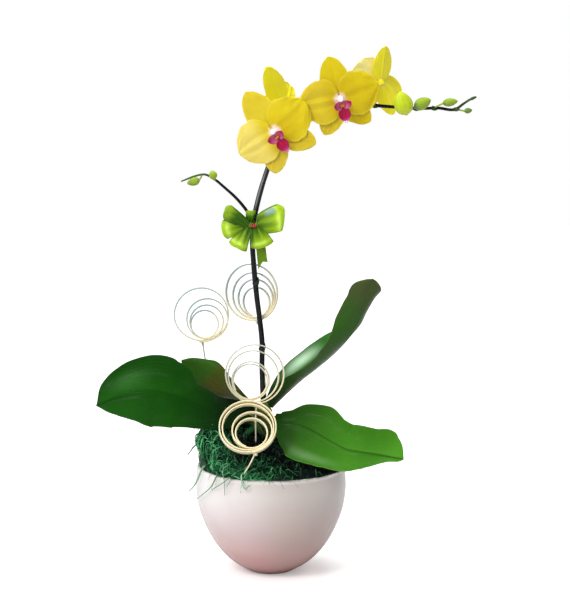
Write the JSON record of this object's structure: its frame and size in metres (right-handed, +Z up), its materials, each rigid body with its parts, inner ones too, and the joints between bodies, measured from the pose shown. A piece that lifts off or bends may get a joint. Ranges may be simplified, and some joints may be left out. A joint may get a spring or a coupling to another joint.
{
  "type": "potted orchid",
  "caption": "Yellow moth orchid in a glossy white-to-rose ceramic bowl with green moss, cane ring picks and a lime ribbon bow.",
  "frame": {"origin": "centre of the pot's foot on the ground", "axes": "+Z up, -Y towards the front, +X towards the side that the flower spike leans to"},
  "size_m": [0.3801, 0.1533, 0.5271],
  "materials": {
    "glaze": "glossy glaze, white at the rim to dusty rose at the foot",
    "bark": "rough packed bark",
    "moss": "matte dyed fibre",
    "crown": "fleshy plant stock with thick roots",
    "leaf_left": "waxy leaf, semi-gloss",
    "leaf_back": "waxy leaf underside, satin",
    "leaf_upright": "waxy leaf, semi-gloss",
    "leaf_right": "waxy leaf, semi-gloss",
    "spike": "smooth dark flower stem, glossy",
    "petal": "soft matte petal with fine veins",
    "column": "satin flower column",
    "lip": "satin flower lip",
    "bud": "smooth satin bud",
    "ribbon": "satin ribbon",
    "tie": "coated twist tie",
    "cane": "split cane, satin"
  },
  "bodies": {
    "root": {"pot": "glaze", "potting_bark": "bark", "moss": "moss", "crown": "crown", "leaf_left": "leaf_left", "leaf_back": "leaf_back", "leaf_upright": "leaf_upright", "leaf_right": "leaf_right", "flower_spike": "spike", "bloom_1_tepals": "petal", "bloom_1_column": "column", "bloom_1_lip": "lip", "bloom_2_tepals": "petal", "bloom_2_column": "column", "bloom_2_lip": "lip", "bloom_3_tepals": "petal", "bloom_3_column": "column", "bloom_3_lip": "lip", "bloom_4_tepals": "petal", "bloom_4_column": "column", "bloom_4_lip": "lip", "bud_1": "bud", "bud_2": "bud", "bud_3": "bud", "bud_4": "bud", "side_bud_1": "bud", "side_bud_2": "bud", "ribbon_bow": "ribbon", "bow_tie": "tie", "ring_pick_1": "cane", "ring_pick_2": "cane", "ring_pick_3": "cane", "ring_pick_4": "cane"}
  },
  "joints": []
}
